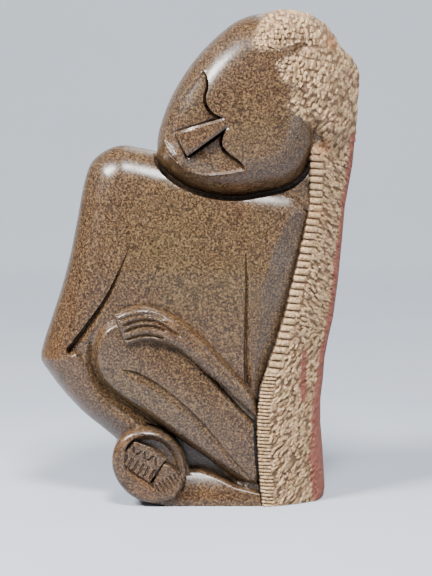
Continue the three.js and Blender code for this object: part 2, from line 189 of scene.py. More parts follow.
# The hair over the crown: where the pecked stone begins beside the polished head, with the tips of its locks.
HAIR = [
    (41, 368), (44, 381), (52, 395), (58, 406), (138, 406), (138, 262), (87, 262), (86, 275), (88, 285),
    (92, 292), (99, 296), (92, 301), (83, 310), (74, 315), (69, 322), (72, 327), (70, 332), (75, 336),
    (69, 339), (63, 342), (64, 348), (60, 352), (61, 357), (74, 361), (85, 370), (83, 373), (75, 370),
    (63, 366), (49, 364),
]
HAIR_VALLEYS = [
    [(69, 332), (81, 329), (95, 322), (110, 315), (118, 306)],
    [(84, 372), (97, 366), (108, 358), (118, 344)],
]
STRAY_PECKS = [(71, 303), (75, 299), (80, 294), (83, 291), (87, 286), (89, 282), (78, 297)]
HAIR_ROOT = (-10, 374)
STRAND_TURN = 2.9
TUFT_PITCH = 2.5
COMB_PITCH = 5.7
COMB_CHANGE = 108
COMB_WIDTH = 11
STROKE_PITCH = 3.1
STROKE_LENGTH = 6.5
STROKE_CHANGE = 138
PECK_DEPTH = 2.2

# The middle of the underside lies here in the outlines' own coordinates.
ORIGIN = (-0.65, -2.0)

# Grid of the maps, and how many map steps make one cell of the skin.
STEP = 0.4
CELL_STEPS = 2
LOW = (-138.0, -3.2)
HIGH = (138.0, 405.0)
XS = np.arange(LOW[0], HIGH[0], STEP)
ZS = np.arange(LOW[1], HIGH[1], STEP)
YS = np.arange(-56.0, 52.0, STEP * CELL_STEPS)
X, Z = np.meshgrid(XS, ZS)
OUTSIDE = -50.0
SHARP = 0.4
TRIANGLES = 194000
SHARP_FROM = 36
SPECK = 50


def ramp(value, start, end):
    return np.clip((value - start) / (end - start), 0, 1)


def soft(value, start, end):
    t = ramp(value, start, end)
    return t * t * (3 - 2 * t)


def smooth(points, closed=False, fine=6):
    """Close points along the centripetal Catmull-Rom curve through the given ones."""
    given = np.array(points, float)
    count = len(given)

    def at(i):
        if closed:
            return given[i % count]
        if i < 0:
            return 2 * given[0] - given[1]
        if i >= count:
            return 2 * given[-1] - given[-2]
        return given[i]

    u = (np.arange(fine) / fine)[:, None]
    found = []
    for i in range(count if closed else count - 1):
        p0, p1, p2, p3 = (at(i + k) for k in (-1, 0, 1, 2))
        d0, d1, d2 = (math.dist(a, b) ** 0.5 for a, b in ((p0, p1), (p1, p2), (p2, p3)))
        m1 = ((p1 - p0) / d0 - (p2 - p0) / (d0 + d1) + (p2 - p1) / d1) * d1
        m2 = ((p2 - p1) / d1 - (p3 - p1) / (d1 + d2) + (p3 - p2) / d2) * d1
        found.append(
            (2 * u**3 - 3 * u**2 + 1) * p1 + (u**3 - 2 * u**2 + u) * m1
            + (3 * u**2 - 2 * u**3) * p2 + (u**3 - u**2) * m2
        )
    if not closed:
        found.append(given[-1:])
    return np.concatenate(found)


def window(low, high):
    """Rows and columns of the maps between two corners."""
    return slice(*np.searchsorted(ZS, (low[1], high[1]))), slice(*np.searchsorted(XS, (low[0], high[0])))


def nearest(line, closed, margin):
    """Distance to a line over the maps, the side it lies on and the share of the way along."""
    away = np.full(X.shape, float(margin))
    side = np.ones(X.shape)
    share = np.zeros(X.shape)
    ends = np.roll(line, -1, axis=0) if closed else line[1:]
    starts = line if closed else line[:-1]
    lengths = np.hypot(*(ends - starts).T)
    gone = np.concatenate([[0], np.cumsum(lengths)])
    for a, b, length, before in zip(starts, ends, lengths, gone):
        if length < 1e-9:
            continue
        part = window(np.minimum(a, b) - margin, np.maximum(a, b) + margin)
        px, pz = X[part] - a[0], Z[part] - a[1]
        ux, uz = (b - a) / length
        t = np.clip(px * ux + pz * uz, 0, length)
        ox, oz = px - t * ux, pz - t * uz
        d = np.hypot(ox, oz)
        near = d < away[part]
        away[part] = np.where(near, d, away[part])
        side[part] = np.where(near, np.sign(ux * oz - uz * ox + 1e-12), side[part])
        share[part] = np.where(near, (before + t) / gone[-1], share[part])
    return away, side, share


def inside(line):
    """Where the maps lie inside a closed line, row by row."""
    held = np.zeros(X.shape, bool)
    ends = np.roll(line, -1, axis=0)
    for row, z in enumerate(ZS):
        cross = (line[:, 1] <= z) != (ends[:, 1] <= z)
        if cross.any():
            a, b = line[cross], ends[cross]
            at = a[:, 0] + (z - a[:, 1]) * (b[:, 0] - a[:, 0]) / (b[:, 1] - a[:, 1])
            held[row] = np.searchsorted(np.sort(at), XS) % 2 == 1
    return held


def depth_in(line, margin=12.0):
    """How far inside a closed line each point lies; negative outside."""
    line = np.array(line, float)
    away = nearest(line, True, margin)[0]
    return np.where(inside(line), away, -away)


def min_of(pictures):
    """The lowest of several maps."""
    return np.min(list(pictures), axis=0)


def oval(shape):
    turn = np.linspace(0, 2 * math.pi, 96, endpoint=False)
    c, s = math.cos(shape["turn"]), math.sin(shape["turn"])
    u, v = shape["long"] * np.cos(turn), shape["short"] * np.sin(turn)
    return np.stack([shape["x"] + u * c - v * s, shape["z"] + u * s + v * c], 1)


def noise(points, size, seed):
    """Smooth noise from -1 to 1 with bumps of about this size, at points of any dimension."""
    table = np.random.default_rng(seed).uniform(-1, 1, 4096)
    whole, blend = [], []
    for value in points:
        scaled = np.asarray(value, float) / size + 1000.0
        floor = np.floor(scaled)
        t = scaled - floor
        whole.append(floor.astype(np.int64))
        blend.append(t * t * (3 - 2 * t))
    total = 0
    for corner in range(2 ** len(whole)):
        weight, key = 1, 0
        for axis, (cell, t) in enumerate(zip(whole, blend)):
            step = corner >> axis & 1
            weight = weight * (t if step else 1 - t)
            key = key * 7919 + (cell + step) * (axis * 131 + 71)
        total = total + weight * table[(key ^ key >> 7) & 4095]
    return total


def chisel(line, width, depth, start=0.3, lean=0.0, fade=0.0, end=1.0):
    """Depth of a cut along a line that grows from start to end; lean moves its bed to one side, and fade
    lets it run out over that share of its length.
    """
    away, side, share = nearest(smooth(line), False, 14.0)
    size = start + (end - start) * share
    if fade:
        size = size * soft(share, -0.02, fade) * soft(1 - share, -0.02, fade)
    across = side * away / np.maximum(width / 2 * size, 1e-3)
    slope = np.where(across > lean, (1 - across) / (1 - lean), (1 + across) / (1 + lean))
    slope = np.clip(slope, 0, 1)
    return depth * size * (0.7 * slope + 0.3 * slope * slope * (3 - 2 * slope))


class Mass:
    """A rounded body, held as maps over the front view.

    depth is how far inside its outline a point lies, and edge how wide its rounding is there. Its front
    lies at front + cut and is rounded over rise_front along Y, and so on behind. A pocket is cut in down to
    a floor, and a dish lowers the front by an amount, both with upright walls.
    """

    def __init__(self, depth, edge, front, rise_front, back, rise_back, cut=0.0, cut_behind=0.0):
        self.layers = [depth, edge, front, rise_front, back, rise_back, cut, cut_behind]
        self.hollows = []

    def pocket(self, within, floor):
        self.layers += [within, floor]
        self.hollows.append("pocket")

    def dish(self, within, sunk):
        self.layers += [within, sunk]
        self.hollows.append("dish")

    def face(self):
        """Map of the front before any hollow is cut."""
        depth, edge, front, rise = self.layers[:4]
        inset = np.clip(1 - depth / edge, 0, 1)
        return front + rise * (1 - np.sqrt(1 - inset**2)) + self.layers[6]

    def close(self):
        """Keeps only the window that holds the mass, as one block of numbers."""
        held = np.argwhere(self.layers[0] > -4)
        (self.row, self.col), (last_row, last_col) = held.min(0), held.max(0) + 1
        part = slice(self.row, last_row), slice(self.col, last_col)
        self.rows, self.cols = last_row - self.row, last_col - self.col
        self.stack = np.stack([np.broadcast_to(v, X.shape)[part] for v in self.layers], -1).astype(np.float32)

    def value(self, y, layers):
        """How far inside the mass a place is; zero on its surface."""
        depth, edge, front, rise_front, back, rise_back, cut, cut_behind, *more = layers
        inset = np.maximum(1 - depth / edge, 0)
        far = np.maximum(1 - (back - cut_behind - y) / rise_back, 0)

        def body(sunk):
            near = np.maximum(1 - (y - front - sunk) / rise_front, 0)
            return edge * (1 - np.hypot(inset, np.maximum(near, far)))

        made = body(cut)
        for kind, within, level in zip(self.hollows, more[::2], more[1::2]):
            if kind == "dish":
                made = np.maximum(np.minimum(made, -within), body(cut + level))
            else:
                made = np.minimum(made, np.maximum(y - level, -within))
        return made


def head_face():
    return HEAD_FRONT + 6 * (((X - 30) / 70) ** 2 + ((Z - 320) / 75) ** 2)


def make_head(relief):
    """Head with its eye field, nose and lips, and the depth inside its outline."""
    depth = depth_in(smooth(HEAD, True), 40)
    bow = 5 * (((X - 30) / 70) ** 2 + ((Z - 320) / 75) ** 2)
    face, back = head_face(), HEAD_BACK - bow
    rim = nearest(smooth(CHEEK_RIM), False, 24)[0]
    nose = [LOWER_BROW[-1], *NOSE_TIP, UPPER_BROW[0]]
    bevel = nearest(np.array(nose, float), False, 8)[0]
    cut = relief - RIM_RAISE * (1 - soft(rim, 0.0, 2.6)) + 1.1 * (1 - soft(bevel, 0, 2.2)) * (rim > 6)
    cut = cut + chisel(LIP_LINE, 2.4, 1.8, start=0.6) - 1.3 * np.sqrt(
        1 - (1 - ramp(depth_in(smooth(LIPS, True)), 0, 4)) ** 2)
    head = Mass(depth, HEAD_EDGE, face, HEAD_MIDDLE - face, back, back - HEAD_MIDDLE, cut)
    field = np.concatenate([
        smooth(CHEEK_RIM)[:-1], smooth(LOWER_BROW)[:-1], np.array(nose[:-1], float), smooth(UPPER_BROW)[:-1],
    ])
    fall = ramp(rim, 0, DISH_WIDTH) ** 0.7
    walls = [smooth(LOWER_BROW), np.array([LOWER_BROW[-1], NOSE_TIP[0]], float), smooth(UPPER_BROW)]
    foot = min_of(nearest(wall, False, 8)[0] for wall in walls)
    head.dish(depth_in(field), (SOCKET_DEPTH + BROW_CUT * (1 - soft(foot, 0, 3))) * fall)
    return head, depth


def torso_face(x):
    return TORSO_FRONT + 7 * ramp(Z, 190, 290) + 4 * ((x + 10) / 110) ** 2


def calf_trench():
    """The slope that falls from the forearm to the lower edge of the raised leg."""
    away, _, share = nearest(smooth(CALF_EDGE), False, 20.0)
    size = soft(share, 0.0, 0.35)
    width = 4 + 9 * size
    return CALF_TRENCH * (0.2 + 0.8 * size) * (1 - soft(away, -width * 0.4, width)) * soft(share, 0.0, 0.06)


def mane_seam():
    """How far inside the narrow gap between the figure and the lower mane each point lies."""
    edge_x = mane_lines()[0]
    half = 0.7 + 0.8 * soft(Z, 10, 40) * (1 - soft(Z, 75, 108))
    return np.minimum(half - np.abs(X - edge_x + half), 112 - Z)


def make_torso(head_depth, waves):
    """Slab of the torso and both arms, with the cuts that part the arms, knee and calf from it."""
    depth = depth_in(smooth(SLAB, True), 34)
    back = SLAB_BACK - 8 * ramp(Z, 150, 290) - 5 * ((X - 20) / 120) ** 2
    face = torso_face(X)
    cut = (
        waves + chisel(LEFT_ARM_LINE, 9, 8, start=0.12, lean=-0.5)
        + chisel(RIGHT_ARM_LINE, 7, 4, start=0.4, lean=-0.5) + calf_trench()
    )
    slab = Mass(depth, SLAB_EDGE, face, SLAB_MIDDLE - face, back, back - SLAB_MIDDLE, cut)
    ridge = np.interp(Z, ARM_RIDGE[:, 1], ARM_RIDGE[:, 0])
    beside = np.minimum(np.minimum(Z - ARM_RIDGE[0, 1], ARM_RIDGE[-1, 1] - Z), 20)
    slab.pocket(beside, torso_face(ridge) + ARM_SLOPE * (X - ridge) + waves)
    slab.pocket(depth_in(CALF_HOLLOW), -18)
    slab.pocket(mane_seam(), SEAM_FLOOR)
    slab.pocket(depth_in(ELBOW_FACET), TORSO_FRONT + 9 - 0.65 * (X + 103))
    slab.pocket(head_depth + HEAD_GAP, HEAD_GAP_FLOOR)
    across = (X - 70) * 0.66 + (Z - 256) * 0.75
    neck = Mass(depth_in(NECK), SHARP, NECK_FRONT - 7 + 0.35 * np.clip(across, 0, None), SHARP, 20, SHARP)
    neck.pocket(head_depth + HEAD_GAP, HEAD_GAP_FLOOR)
    return [slab, neck]


def mane_lines():
    return [np.interp(Z, MANE[:, 0], MANE[:, k]) for k in range(1, 6)]


def make_hair(relief, relief_behind):
    """The crown and the mane below it, in front and behind."""
    depth = depth_in(smooth(CROWN_HAIR, True), 26)
    depth = depth - 0.7 + 0.6 * noise((X, Z), 3.2, 13) + 0.5 * noise((X, Z), 7, 14)
    face = head_face() + 0.012 * np.clip(X - 84, 0, None) ** 2 + 0.75 * np.clip(303 - Z, 0, None)
    face = np.minimum(face, -12)
    back = MANE_BACK - 3 - 5 * ramp(Z, 320, 395)
    crown = Mass(depth, CROWN_EDGE, face, -face, back, back, relief, relief_behind)
    edge_x, edge_y, line_x, line_y, out_x = mane_lines()
    u = np.clip((X - edge_x) / (line_x - edge_x), 0, 1)
    face = edge_y + u * (line_y - edge_y) - MANE_BULGE * 4 * u * (1 - u)
    left = X < (edge_x + line_x) / 2
    depth = np.minimum(np.minimum(X - edge_x + 0.9 * comb_edge(), out_x - X), 335 - Z)
    edge = np.where(left, 1.5, out_x - line_x)
    mane = Mass(depth, edge, face, np.where(left, 2.0, 12 - face), 14.0, SHARP, relief)
    back = MANE_BACK - 12 * ramp(Z, 290, 335)
    inner = out_x - MANE_WIDTH_BEHIND - 5 * np.sin(Z / 31)
    depth = np.minimum(np.minimum(X - inner, out_x - X), 335 - Z)
    behind = Mass(depth, 13.0, 6.0, SHARP, back, 13.0, 0.0, relief_behind)
    return [crown, mane, behind]


def make_bowl():
    """Round bowl with a sunken well, the plaque of keys and the gripping fingers."""
    bowl = Mass(depth_in(oval(BOWL)), BOWL_ROUNDING, BOWL_FRONT, BOWL_ROUNDING, BOWL_BACK, 4.0)
    well = depth_in(oval(WELL))
    upper = soft(0.52 * (X - PLAQUE_AXIS["x"]) + 0.85 * (Z - PLAQUE_AXIS["z"]), -16, -6)
    bowl.dish(well, WELL_DEPTH * upper * (0.55 + 0.45 * soft(well, 0, 6)))
    c, s = math.cos(PLAQUE_AXIS["turn"]), math.sin(PLAQUE_AXIS["turn"])
    u = (X - PLAQUE_AXIS["x"]) * c + (Z - PLAQUE_AXIS["z"]) * s
    v = -(X - PLAQUE_AXIS["x"]) * s + (Z - PLAQUE_AXIS["z"]) * c
    strokes = 0.0
    for i in range(KEYS):
        at = (i - (KEYS - 1) / 2) * KEY_PITCH
        upright = (1 - soft(np.abs(u - at), 0.5, 1.3)) * (1 - soft(np.abs(v + 5.5), 4, 5))
        strokes = np.maximum(strokes, upright)
        lean = 0.55 if i % 2 else -0.55
        slant = np.abs(u - at - 2.5 - lean * (v - 5.5))
        if i < KEYS - 1:
            strokes = np.maximum(strokes, (1 - soft(slant, 0.4, 1.1)) * (1 - soft(np.abs(v - 5.5), 2.2, 3)))
    floor = BOWL_FRONT + WELL_DEPTH + 2
    plaque = Mass(depth_in(PLAQUE), 1.2, BOWL_FRONT + 1.5, 1.0, floor, SHARP, 1.5 * strokes)
    along = (X + 24) * 0.87 + (Z - 21) * 0.49
    across = (Z - 21) * 0.87 - (X + 24) * 0.49
    row = 1 - soft(np.abs(across + 1), 4.5, 6)
    nails = 1.2 * row * (1 - soft(np.abs((along + 30) % 3.4 - 1.7), 0.2, 1.0))
    grip = Mass(depth_in(GRIP), 1.6, BOWL_FRONT - 0.5, 1.4, floor, SHARP, nails)
    return [bowl, plaque, grip]


def make_lap():
    """Raised leg with its carved line, and the forearm and hand that lie on it."""
    across = (X + 8) * 0.606 + (Z - 85) * 0.795
    face = LEG_FRONT + 3 * ramp(X, -40, 46) + 0.004 * across**2
    cut = chisel(LEG_LINE, 6.5, 2.2, start=1.2, lean=0.75, fade=0.1, end=0.5)
    leg = Mass(depth_in(smooth(LEG, True), 14), LEG_EDGE, face, LEG_MIDDLE - face, 0.0, SHARP, cut)
    leg.pocket(mane_seam(), SEAM_FLOOR)
    face = HAND_FRONT + 6 * ramp(X, -20, 50) + 0.5 * ((Z - 146) / 12) ** 2 * ramp(-X, 20, 40)
    cut = 0.0
    for line in FINGER_LINES:
        cut = np.maximum(cut, chisel(line, 4.2, 2.2, start=1.0, fade=0.12, lean=-0.3))
    outline = np.concatenate([smooth(FOREARM_TOP), smooth(FOREARM_UNDER)])
    arm = Mass(depth_in(outline), FOREARM_EDGE, face, FOREARM_EDGE, 0.0, SHARP, cut)
    return [leg, arm]


def make_base():
    face = BASE_FRONT + 0.014 * np.clip(Z, 0, None) ** 2
    base = Mass(depth_in(BASE_TOP), 2.0, face, 2.0, 30.0, SHARP)
    base.pocket(mane_seam(), SEAM_FLOOR)
    return base


def peck(relief, x, z, turn, length, width, depth):
    """One mark of the point chisel: a dent that is long along turn, steep on one side."""
    reach = length / 2
    part = window((x - reach, z - reach), (x + reach, z + reach))
    dx, dz = X[part] - x, Z[part] - z
    c, s = math.cos(turn), math.sin(turn)
    u = (dx * c + dz * s) / (length / 2)
    v = (dz * c - dx * s) / (width / 2)
    across = np.where(v > -0.3, (1 - v) / 1.3, (1 + v) / 0.7)
    dent = depth * np.sqrt(np.clip(1 - u * u, 0, 1)) * np.clip(across, 0, 1)
    relief[part] = np.maximum(relief[part], dent)


def hair_region():
    """How far inside the pecked hair each point of the front lies, with a ragged edge."""
    edge_x = mane_lines()[0]
    top = depth_in(HAIR)
    mane = np.where(Z < 285, X - edge_x + 0.3, -12)
    return np.maximum(top, mane)


def tuft(height, x, z, turn, length, width, top):
    """One short ridge left standing between the marks of the point chisel."""
    reach = length / 2
    part = window((x - reach, z - reach), (x + reach, z + reach))
    dx, dz = X[part] - x, Z[part] - z
    c, s = math.cos(turn), math.sin(turn)
    u = (dx * c + dz * s) / (length / 2)
    v = (dz * c - dx * s) / (width / 2)
    made = top * np.clip(1 - u**4, 0, 1) * np.sqrt(np.clip(1 - v * v, 0, 1))
    height[part] = np.maximum(height[part], made)


def comb_bars():
    """Heights of the bars that the comb along the mane's edge is made of, and the pitch there."""
    bars, z = [], -2.0
    while z < 286:
        pitch = COMB_PITCH * (0.5 if z < COMB_CHANGE else 1.0)
        bars.append((z, pitch))
        z += pitch
    return bars


def comb_edge():
    """How far the bars of the comb stand out from the mane's edge, from 0 to 1."""
    stand = np.zeros(X.shape)
    for z, pitch in comb_bars():
        stand = np.maximum(stand, 1 - ((Z - z) / (0.42 * pitch)) ** 2)
    return stand


def hair_height(seed):
    """Height from 0 to 1 of the strands between the marks: a crown of rows, a comb and slanted strokes."""
    draw = np.random.default_rng(seed)
    height = np.zeros(X.shape)
    for turn in np.arange(-80, 26, STRAND_TURN):
        for reach in np.arange(50, 190, TUFT_PITCH):
            angle = math.radians(turn + draw.uniform(-0.3, 0.3) * STRAND_TURN)
            far = reach + draw.uniform(-0.35, 0.35) * TUFT_PITCH
            x, z = HAIR_ROOT[0] + far * math.cos(angle), HAIR_ROOT[1] + far * math.sin(angle)
            lean = angle + math.radians(90 + draw.uniform(-28, 28))
            length = far * math.radians(STRAND_TURN) * draw.uniform(0.7, 1.4)
            if z > 282:
                tuft(height, x, z, lean, length, TUFT_PITCH * draw.uniform(0.8, 1.4), draw.uniform(0.3, 1))
    for z, pitch in comb_bars():
        x = np.interp(z, MANE[:, 0], MANE[:, 1]) + draw.uniform(4.2, 5.2)
        tuft(height, x, z, math.radians(-5), 13, 0.86 * pitch, draw.uniform(0.85, 1.1))
    for z in np.arange(-3, 288, STROKE_PITCH):
        for x in np.arange(50, 124, STROKE_LENGTH * 0.46):
            across = x - np.interp(z, MANE[:, 0], MANE[:, 1])
            mixed = z + draw.uniform(-12, 12) > STROKE_CHANGE
            turn = math.radians((-38 if mixed else 52) + draw.uniform(-22, 22))
            spot = x + draw.uniform(-2.2, 2.2), z + draw.uniform(-1.4, 1.4)
            length = STROKE_LENGTH * draw.uniform(0.6, 1.2)
            width, top = STROKE_PITCH * draw.uniform(0.6, 1.0), draw.uniform(0.3, 1)
            if across > COMB_WIDTH:
                tuft(height, *spot, turn, length, width, top)
    return height


def carve():
    """All masses, and the maps of hair and of its marks on both sides."""
    region = hair_region() + 0.9 * noise((X, Z), 2.2, 3)
    hair = soft(region, -0.4, 0.8)
    height = hair_height(5)
    marks = 1 - np.clip(height, 0, 1)
    lumps = noise((X, Z), 11, 7) * 0.8 + noise((X, Z), 2.4, 8) * 0.6
    valleys = sum(1 - soft(nearest(smooth(v), False, 8)[0], 0.5, 6) for v in HAIR_VALLEYS)
    relief = hair * (PECK_DEPTH * marks - 1.2 + lumps * 0.7 + 1.8 * valleys)
    for x, z in STRAY_PECKS:
        peck(relief, x, z, math.radians(-50), 3.4, 1.6, 0.8)
    waves = 0.12 * noise((X, Z), 17, 21) + 0.05 * noise((X, Z), 6, 22)
    out_x = mane_lines()[4]
    region_behind = X - (out_x - MANE_WIDTH_BEHIND - 5 * np.sin(Z / 31)) - 3
    region_behind = np.where(Z > 320, np.minimum(region_behind, X - 72), region_behind)
    hair_behind = soft(region_behind + 1.5 * noise((X, Z), 3, 9), -0.4, 0.8)
    relief_behind = hair_behind * (PECK_DEPTH * marks + lumps * 0.8)
    head, head_depth = make_head(relief + waves)
    masses = [head, *make_torso(head_depth, waves), *make_hair(relief, relief_behind)]
    masses += [*make_lap(), *make_bowl(), make_base()]
    for mass in masses:
        mass.close()
    return masses, {"hair": hair, "hair_behind": hair_behind, "marks": marks}


def sampled(masses, row, col):
    """For each mass the points that lie in its window, and its numbers there."""
    found = []
    for mass in masses:
        r, c = row - mass.row, col - mass.col
        near = np.flatnonzero((r >= 0) & (r < mass.rows - 1) & (c >= 0) & (c < mass.cols - 1))
        r, c = r[near], c[near]
        r0, c0 = r.astype(np.int32), c.astype(np.int32)
        fr, fc = (r - r0)[:, None].astype(np.float32), (c - c0)[:, None].astype(np.float32)
        stack = mass.stack
        low = stack[r0, c0] * (1 - fr) + stack[r0 + 1, c0] * fr
        high = stack[r0, c0 + 1] * (1 - fr) + stack[r0 + 1, c0 + 1] * fr
        found.append((near, (low * (1 - fc) + high * fc).T))
    return found


def field(masses, samples, y, z):
    """How far inside the block each place is."""
    made = np.full(len(y), OUTSIDE, np.float32)
    for mass, (near, layers) in zip(masses, samples):
        made[near] = np.maximum(made[near], mass.value(y[near], layers))
    return np.minimum(made, z)


def node_field(masses):
    """The field at every node of the skin's grid, as [y, z, x]."""
    n = CELL_STEPS
    rows, cols = np.arange(0, len(ZS), n), np.arange(0, len(XS), n)
    made = np.full((len(YS), len(rows), len(cols)), OUTSIDE, np.float32)
    for mass in masses:
        r = rows[(rows >= mass.row) & (rows < mass.row + mass.rows)]
        c = cols[(cols >= mass.col) & (cols < mass.col + mass.cols)]
        layers = np.moveaxis(mass.stack[np.ix_(r - mass.row, c - mass.col)], -1, 0)
        part = slice(r[0] // n, r[-1] // n + 1), slice(c[0] // n, c[-1] // n + 1)
        for k, y in enumerate(YS):
            made[(k, *part)] = np.maximum(made[(k, *part)], mass.value(y, layers))
    return np.minimum(made, ZS[rows][None, :, None])


def crossings(masses, values, axis):
    """Where the surface crosses the grid's edges along one axis (0 = y, 1 = z, 2 = x)."""
    n, size = CELL_STEPS, STEP * CELL_STEPS
    first = tuple(slice(0, -1) if m == axis else slice(None) for m in range(3))
    second = tuple(slice(1, None) if m == axis else slice(None) for m in range(3))
    a, b = values[first], values[second]
    index = np.nonzero((a > 0) != (b > 0))
    low, high = a[index].astype(float), b[index].astype(float)
    start, end = np.zeros(len(low)), np.ones(len(low))

    def place(t):
        k, j, i = (v + (t if m == axis else 0) for m, v in enumerate(index))
        return j * n, i * n, YS[0] + k * size, ZS[0] + j * size

    kept = sampled(masses, *place(0 * start)[:2]) if axis == 0 else None
    for step in range(4):
        t = start + (end - start) * (low / (low - high) if step < 3 else 0.5)
        t = np.clip(t, start + 0.03 * (end - start), end - 0.03 * (end - start))
        row, col, y, z = place(t)
        found = field(masses, kept or sampled(masses, row, col), y, z)
        same = (found > 0) == (low > 0)
        start, low = np.where(same, t, start), np.where(same, found, low)
        end, high = np.where(same, end, t), np.where(same, high, found)
    t = start + (end - start) * low / (low - high)
    row, col, y, z = place(t)
    here = sampled(masses, row, col)
    level = field(masses, here, y, z)
    d = 0.12
    slope = np.stack([
        field(masses, sampled(masses, row, col + d / STEP), y, z) - level,
        field(masses, here, y + d, z) - level,
        field(masses, sampled(masses, row + d / STEP, col), y, z + d) - level,
    ], 1)
    out = -slope / np.maximum(np.linalg.norm(slope, axis=1), 1e-9)[:, None]
    spot = np.stack([XS[0] + col * STEP, y, z], 1)
    return index, low > 0, spot, out


def skin_of(masses):
    """Points and four-sided faces of the block's surface, by dual contouring."""
    values = node_field(masses)
    shape = values.shape
    size = STEP * CELL_STEPS
    quads, cells, spots, outs = [], [], [], []
    for axis in range(3):
        index, rises, spot, out = crossings(masses, values, axis)
        others = [m for m in range(3) if m != axis]
        corners = []
        for da, db in ((0, 0), (1, 0), (1, 1), (0, 1)):
            around = list(index)
            around[others[0]] = around[others[0]] - da
            around[others[1]] = around[others[1]] - db
            corners.append((around[0] * shape[1] + around[1]) * shape[2] + around[2])
        quad = np.stack(corners, 1)
        turned = ~rises if axis == 1 else rises
        quads.append(np.where(turned[:, None], quad, quad[:, ::-1]))
        cells.append(np.concatenate(corners))
        spots.append(np.tile(spot, (4, 1)))
        outs.append(np.tile(out, (4, 1)))
    cell, spot, out = (np.concatenate(v) for v in (cells, spots, outs))
    names, inverse = np.unique(cell, return_inverse=True)
    total = len(names)
    amount = np.bincount(inverse, minlength=total)
    mean = np.stack([np.bincount(inverse, spot[:, m], total) / amount for m in range(3)], 1)
    offset = spot - mean[inverse]
    along = (out * offset).sum(1)
    matrix = np.empty((total, 3, 3))
    right = np.empty((total, 3))
    for r in range(3):
        right[:, r] = np.bincount(inverse, out[:, r] * along, total)
        for c in range(3):
            matrix[:, r, c] = np.bincount(inverse, out[:, r] * out[:, c], total)
    matrix += 0.12 * amount[:, None, None] * np.eye(3)
    shift = np.linalg.solve(matrix, right[:, :, None])[:, :, 0]
    found = mean + np.clip(shift, -0.6 * size, 0.6 * size)
    return found, np.searchsorted(names, np.concatenate(quads))


def at_points(picture, x, z):
    """Reads a map at points."""
    row = np.clip((z - LOW[1]) / STEP, 0, len(ZS) - 1.001)
    col = np.clip((x - LOW[0]) / STEP, 0, len(XS) - 1.001)
    r, c = row.astype(int), col.astype(int)
    fr, fc = row - r, col - c
    low = picture[r, c] * (1 - fr) + picture[r + 1, c] * fr
    high = picture[r, c + 1] * (1 - fr) + picture[r + 1, c + 1] * fr
    return low * (1 - fc) + high * fc


def mesh_from(name, points, faces):
    mesh = bpy.data.meshes.new(name)
    mesh.vertices.add(len(points))
    mesh.vertices.foreach_set("co", np.asarray(points, np.float32).ravel())
    mesh.loops.add(faces.size)
    mesh.loops.foreach_set("vertex_index", faces.astype(np.int32).ravel())
    mesh.polygons.add(len(faces))
    mesh.polygons.foreach_set("loop_start", np.arange(0, faces.size, faces.shape[1], dtype=np.int32))
    mesh.update(calc_edges=True)
    mesh.validate()
    return mesh


def drop_specks(mesh):
    """Deletes the shells of a few faces that the grid leaves loose."""
    work = bmesh.new()
    work.from_mesh(mesh)
    seen, specks = set(), []
    for first in work.verts:
        if first in seen:
            continue
        seen.add(first)
        shell, waiting = [first], [first]
        while waiting:
            for edge in waiting.pop().link_edges:
                for vert in edge.verts:
                    if vert not in seen:
                        seen.add(vert)
                        shell.append(vert)
                        waiting.append(vert)
        if len(shell) < SPECK:
            specks += shell
    bmesh.ops.delete(work, geom=specks, context="VERTS")
    work.to_mesh(mesh)
    work.free()


def build_figure():
    masses, maps = carve()
    points, faces = skin_of(masses)
    world = np.clip((points - np.array([*ORIGIN, 0])) * MM, *np.array(CAD_BOX))
    mesh = mesh_from("figure", world, faces)
    piece = bpy.data.objects.new("figure", mesh)
    bpy.context.scene.collection.objects.link(piece)
    reduce = piece.modifiers.new("reduce", "DECIMATE")
    reduce.ratio = min(1.0, TRIANGLES / (2 * len(faces)))
    bpy.context.view_layer.objects.active = piece
    bpy.ops.object.modifier_apply(modifier=reduce.name)
    drop_specks(piece.data)
    piece.data.shade_smooth()
    piece.data.set_sharp_from_angle(angle=math.radians(SHARP_FROM))
    even = piece.modifiers.new("even", "WEIGHTED_NORMAL")
    even.keep_sharp = True
    bpy.ops.object.modifier_apply(modifier=even.name)
    paint(piece.data, masses, maps)
    return piece


# Clouds of other colour in the stone, as x, z and radius in millimetres, and their strength. The grey ones
# are partly the stone's own grey and partly painted sheen: many lie where polished faces turn up or aside and
# catch the light.
RUST = [
    (-118, 120, 16, 0.8), (-104, 88, 13, 0.9), (-92, 74, 10, 0.7), (-62, 55, 9, 0.8), (-45, 14, 14, 0.7),
    (-24, 146, 10, 0.7), (-5, 136, 10, 0.5), (2, 297, 12, 0.6), (30, 258, 16, 0.7), (60, 270, 16, 0.4),
    (-108, 160, 12, 0.4), (-66, 44, 10, 0.5), (-20, 10, 10, 0.5), (104, 372, 5, 1.0), (98, 288, 7, 0.8),
    (96, 235, 8, 0.5), (112, 385, 9, 0.6), (20, 45, 12, 0.4),
]
GREY_AND_SHEEN = [
    (60, 170, 14, 0.9), (66, 200, 12, 0.9), (54, 130, 10, 0.8), (-20, 60, 22, 0.7), (15, 40, 20, 0.7),
    (15, 365, 22, 0.7), (-10, 330, 12, 0.8), (-80, 270, 16, 0.5), (10, 275, 12, 0.9), (60, 245, 16, 0.6),
    (-70, 140, 10, 0.5), (30, 80, 16, 0.5), (80, 262, 8, 0.6),
]
OLIVE = [
    (-20, 210, 40, 0.8), (30, 180, 26, 0.9), (-10, 175, 26, 0.8), (44, 225, 14, 0.7), (-5, 318, 10, 0.7),
    (-66, 100, 16, 0.6), (-40, 85, 16, 0.6), (44, 300, 24, 0.5),
]


def clouds(x, z, spots):
    total = np.zeros(len(x))
    for cx, cz, radius, strength in spots:
        total = np.maximum(total, strength * np.exp(-(((x - cx) ** 2 + (z - cz) ** 2) / radius**2)))
    return total


